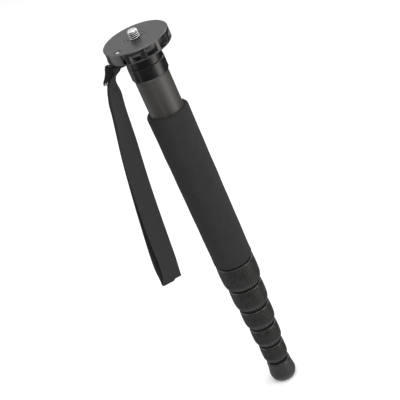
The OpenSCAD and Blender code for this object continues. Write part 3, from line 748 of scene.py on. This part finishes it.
# wrist strap: one loop of webbing over the link's pin, swinging out near the top, turning and opening below
swing = next(j for j in frame["record"]["behaviour"]["joints"] if j["name"] == "strap_swing")
strap = {
    "pin": np.array(swing["pos_m"]), "turn": 160.0, "reach": 212.2 * mm, "thick": 1.4 * mm,
    "width": 19.5 * mm, "topWidth": 5.6 * mm, "flare": (3 * mm, 27 * mm),
    "pinGap": 2.25 * mm, "pinFade": 5 * mm, "sewnGap": 0.95 * mm, "sewnEnd": 70 * mm, "openGap": 3.0 * mm,
    "foldGap": 1.3 * mm, "nip": 26 * mm, "nipEnd": 2 * mm,
    # the back layer's shift and the front layer's bare edge, each with the drops where it comes and goes
    "backShift": 1.1 * mm, "shiftLoss": 0.9,
    "shiftIn": (100 * mm, 185 * mm), "shiftOut": (194 * mm, 212 * mm),
    "bare": 0.22, "bareIn": (140 * mm, 200 * mm), "bareOut": (203 * mm, 211 * mm),
    "wave": 0.25 * mm, "waveRun": 17 * mm, "waveIn": (30 * mm, 80 * mm),
    "tilt": 1.9 * mm, "tiltRun": 60 * mm,
    "step": 0.8 * mm, "stepAt": -2.5 * mm, "stepWide": 0.6 * mm, "stepRun": 14 * mm,
    # millimetres below the pin: millimetres out, degrees of turn
    "outAt": (
        (0, 0), (3.3, 0.2), (5.6, 4.9), (9, 7.7), (14, 9.6),
        (20, 10.6), (50, 15.8), (110, 25.3), (165, 32.1), (213, 36.9),
    ),
    "turnAt": ((0, 0), (2.5, 0), (10, 23), (25, 33.7), (80, 15.6), (150, 10.4), (213, 3.5)),
}


# smooth curve through a table: cubic pieces whose slopes are the mean of the steps on either side
def through(table, x):
    xs, ys = np.array(table, float).T
    steps = np.diff(ys) / np.diff(xs)
    slopes = np.concatenate([[0], (steps[1:] + steps[:-1]) / 2, [steps[-1]]])
    i = np.clip(np.searchsorted(xs, x) - 1, 0, len(xs) - 2)
    h = xs[i + 1] - xs[i]
    s = np.clip((x - xs[i]) / h, 0, 1)
    return (ys[i] * (1 + 2 * s) * (1 - s) ** 2 + slopes[i] * h * s * (1 - s) ** 2
            + ys[i + 1] * s * s * (3 - 2 * s) + slopes[i + 1] * h * s * s * (s - 1))


# middle and width direction of a strip that stands q off the strap's middle plane
def strapFrame(q, drop, side):
    below, lean = np.maximum(drop, 0) / mm, math.radians(strap["turn"])
    turn = lean + np.radians(through(strap["turnAt"], below))
    level = np.zeros_like(turn)
    across = np.stack([np.cos(turn), np.sin(turn), level], -1)
    normal = np.stack([-np.sin(turn), np.cos(turn), level], -1)
    out = np.array([math.cos(lean), math.sin(lean), 0])
    away = through(strap["outAt"], below) * mm
    centre = strap["pin"] + away[:, None] * out + q[:, None] * normal - drop[:, None] * np.array([0, 0, 1.0])
    gone = strap["shiftLoss"] * ease(*strap["shiftOut"], drop)
    shift = side * strap["backShift"] * ease(*strap["shiftIn"], drop) * (1 - gone)
    return centre + shift[:, None] * across, across


def strapWidth(drop):
    return strap["topWidth"] + (strap["width"] - strap["topWidth"]) * ease(*strap["flare"], drop)


# half the space between the layers: round the pin, sewn flat below it, open lower down and nipped at the fold
def strapGap(drop):
    sewn, opened, nip = strap["sewnGap"], strap["openGap"], strap["reach"] - strap["nip"]
    nipped = opened + (strap["foldGap"] - opened) * ease(nip, strap["reach"] - strap["nipEnd"], drop)
    pinned = (strap["pinGap"] - sewn) * np.exp(-(drop / strap["pinFade"]) ** 2)
    return sewn + pinned + (nipped - sewn) * ease(strap["sewnEnd"], nip, drop)


# rounded rectangle as shares of width, rounding past the edge and lift off the middle
def stripSection(flat):
    v = np.linspace(-0.5, 0.5, flat)
    bend = np.linspace(np.pi / 2, -np.pi / 2, 5)[1:-1]
    share = np.concatenate([v, np.full(3, 0.5), v[::-1], np.full(3, -0.5)])
    past = np.concatenate([np.zeros(flat), np.cos(bend), np.zeros(flat), -np.cos(bend)])
    lift = np.concatenate([np.ones(flat), np.sin(bend), -np.ones(flat), -np.sin(bend)])
    return share, past, lift


# the path runs over the pin, down the front, round the lower fold and up the back, and carries the strip's
# section along it; q is the distance off the middle plane, and side runs from 0 in front to 1 at the back
def makeLoop():
    end, half = strap["reach"] - strap["foldGap"], strap["thick"] / 2
    over = np.linspace(np.pi, 0, 16)[1:-1]
    down = np.concatenate([np.linspace(0, 30, 44) * mm, np.linspace(32 * mm, end, 110)])
    under = np.linspace(0, -np.pi, 18)[1:-1]
    pinGap, gap, endGap = strap["pinGap"], strapGap(down), strapGap(end)
    q = np.concatenate([pinGap * np.cos(over), gap, endGap * np.cos(under), -gap[::-1]])
    drop = np.concatenate([-pinGap * np.sin(over), down, end - endGap * np.sin(under), down[::-1]])
    turning = np.linspace(0, 1, len(under))
    side = np.concatenate([np.zeros(len(over) + len(down)), turning, np.ones(len(down))])
    centre, across = strapFrame(q, drop, side)
    step = np.roll(centre, -1, 0) - np.roll(centre, 1, 0)
    normal = np.cross(across, step)
    normal /= np.linalg.norm(normal, axis=1)[:, None]
    share, past, lift = stripSection(19)
    reach = strapWidth(drop)[:, None] * share + past * half
    # near the lower end the front layer leaves the back one's edge bare
    bare = strap["bare"] * (1 - side) * ease(*strap["bareIn"], drop) * (1 - ease(*strap["bareOut"], drop))
    reach = np.where(reach > 0, reach * (1 - bare)[:, None], reach)
    wave = strap["wave"] * np.sin(drop / strap["waveRun"] + 1.3) * ease(*strap["waveIn"], drop)
    rise = lift * half + wave[:, None] * share
    points = centre[:, None] + reach[..., None] * across[:, None] + rise[..., None] * normal[:, None]
    # the fold hangs askew, higher at the outer edge, with a small step in it
    askew = strap["tilt"] * reach / (strap["width"] / 2)
    notch = strap["step"] * np.tanh((reach - strap["stepAt"]) / strap["stepWide"])
    points[..., 2] += askew * ease(end - strap["tiltRun"], end, drop)[:, None]
    points[..., 2] -= notch * ease(end - strap["stepRun"], end, drop)[:, None]
    length = np.concatenate([[0], np.cumsum(np.linalg.norm(np.diff(centre, axis=0), axis=1))])
    length = np.append(length, length[-1] + np.linalg.norm(centre[0] - centre[-1]))
    sideways = np.append(share, share[0]) * strap["width"]
    uv = np.stack(np.broadcast_arrays(length[:, None], sideways[None]), -1) / mm
    loop = surface("strapLoop", points, closeRows=True, uv=uv, sharp=50)
    settle(loop, "strap", "webbing", finishes["webbing"], "strap_webbing")


# the cut end of the webbing, lapped round the outer end of the link: a smooth patch through rows of points,
# each point given as millimetres outwards, towards the front and below the pin
fold = {
    "thick": 1.0 * mm, "rows": 44, "columns": 34, "mapLong": 14, "mapWide": 10,
    "through": (
        ((2.8, -4.6, -4.2), (5.8, -3.4, -4.4), (7.2, -0.2, -5.2), (6.6, 3.2, -4.6), (4.4, 4.5, -4.5)),
        ((3.8, -4.8, -2.0), (7.4, -3.2, -2.0), (8.2, 0.0, -2.0), (7.0, 3.4, -1.8), (4.0, 4.5, -1.0)),
        ((6.0, -4.2, 1.0), (9.0, -2.6, 1.0), (9.6, 0.4, 1.0), (8.1, 3.6, 1.0), (5.2, 4.6, 1.2)),
        ((10.6, -2.0, 3.4), (12.0, -0.4, 3.4), (12.0, 1.6, 3.4), (10.6, 3.8, 3.3), (8.4, 4.6, 3.1)),
        ((15.0, 1.4, 5.2), (15.4, 2.2, 5.4), (15.0, 3.2, 5.6), (13.8, 4.0, 5.8), (12.2, 4.4, 5.8)),
    ),
}


def spread(count, at):  # weights of the smooth curve through evenly spaced values
    return np.stack([through([(j, float(i == j)) for j in range(count)], at) for i in range(count)], 1)


def makeFold():
    knots = np.array(fold["through"]) * mm
    down = spread(len(knots), np.linspace(0, len(knots) - 1, fold["rows"]))
    over = spread(knots.shape[1], np.linspace(0, knots.shape[1] - 1, fold["columns"]))
    a = math.radians(strap["turn"])
    axes = np.array([[math.cos(a), math.sin(a), 0], [-math.sin(a), math.cos(a), 0], [0, 0, -1]])
    middle = strap["pin"] + np.einsum("ai,bj,ijk->abk", down, over, knots) @ axes
    normal = np.cross(np.gradient(middle, axis=0), np.gradient(middle, axis=1))
    normal *= fold["thick"] / 2 / np.linalg.norm(normal, axis=-1)[..., None]
    points = np.concatenate([middle + normal, (middle - normal)[:, ::-1]], 1)
    long = np.linspace(0, fold["mapLong"], fold["rows"])
    wide = np.linspace(0, fold["mapWide"], fold["columns"])
    wide = np.concatenate([wide, wide[::-1], wide[:1]])
    uv = np.stack(np.broadcast_arrays(long[:, None], wide), -1)
    piece = surface("strapFold", points, cap=True, uv=uv, sharp=50)
    # painted shade: the fold takes the nearly black copy of the webbing
    piece.data.materials.append(finishes["flapShade"])
    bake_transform(piece)
    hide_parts("strap_sewn_end")
    return middle


# round threads along curves: a ring of points carried along each row of a path, tapering to its ends
def threads(name, paths, radius, sides=6):
    count = paths.shape[1]
    step = np.gradient(paths, axis=1)
    step /= np.linalg.norm(step, axis=-1)[..., None]
    side = np.cross(step, [0.31, 0.23, 0.92])  # any direction that no thread runs along
    side /= np.linalg.norm(side, axis=-1)[..., None]
    other = np.cross(step, side)
    a = np.arange(sides) * 2 * np.pi / sides
    ends = radius * np.sqrt(np.maximum(1 - np.abs(np.linspace(-1, 1, count)) ** 6, 0.02))
    ring = np.cos(a)[:, None] * side[:, :, None] + np.sin(a)[:, None] * other[:, :, None]
    points = paths[:, :, None] + ends[None, :, None, None] * ring
    _, quads = gridFaces(count, sides, False)
    first = np.arange(sides)
    last = first[::-1] + (count - 1) * sides
    faces = []
    for base in np.arange(len(paths)) * count * sides:
        faces += [*(quads[:, ::-1] + base).tolist(), (first + base).tolist(), (last + base).tolist()]
    mesh = bpy.data.meshes.new(name)
    mesh.from_pydata(points.reshape(-1, 3), [], faces)
    work = bmesh.new()
    work.from_mesh(mesh)
    bmesh.ops.recalc_face_normals(work, faces=work.faces)
    work.to_mesh(mesh)
    work.free()
    settle(shown(name, mesh), "strap", "webbing", finishes["thread"])


# frayed yarns at the cut end: each starts on the patch's last rows and droops outwards
fray = {"strands": 30, "length": (0.7, 2.0), "stray": 0.35, "droop": 0.75, "radius": 0.2 * mm}


def makeFray(patch):
    rng = np.random.default_rng(5)
    n = fray["strands"]
    t = np.linspace(0, 1, 12)[None, :, None]
    column = rng.integers(0, fold["columns"], n)
    start = patch[-2, column]
    ahead = patch[-1, column] - patch[-4, column]
    ahead /= np.linalg.norm(ahead, axis=1)[:, None]
    bend = rng.normal(0, fray["stray"], (n, 3)) - [0, 0, fray["droop"]]
    length = (rng.uniform(*fray["length"], n) * mm)[:, None]
    paths = start[:, None] + (ahead * length)[:, None] * t + (bend * length)[:, None] * t ** 2
    threads("strapFray", paths, fray["radius"])


# two bars of stitches through the front layer, each stitch an arch that starts and ends in the cloth
stitches = {
    "rows": (15.5, 18.5), "inRow": np.linspace(-4.6, 4.6, 8), "long": 1.05, "slope": 0.5,
    "arch": 0.14 * mm, "sunk": 0.06 * mm, "radius": 0.17 * mm,
}


def makeStitches():
    t = np.linspace(0, 1, 9)
    paths = []
    for row in stitches["rows"]:
        for k in stitches["inRow"]:
            along = (k + stitches["long"] * t - 0.5) * mm
            drop = (row + stitches["slope"] * t) * mm
            proud = stitches["arch"] * np.sin(np.pi * t) - stitches["sunk"]
            centre, across = strapFrame(strapGap(drop) + strap["thick"] / 2 + proud, drop, np.zeros_like(t))
            paths.append(centre + along[:, None] * across)
    threads("strapStitches", np.array(paths), stitches["radius"])


makeLoop()
makeFray(makeFold())
makeStitches()
print("strap made")
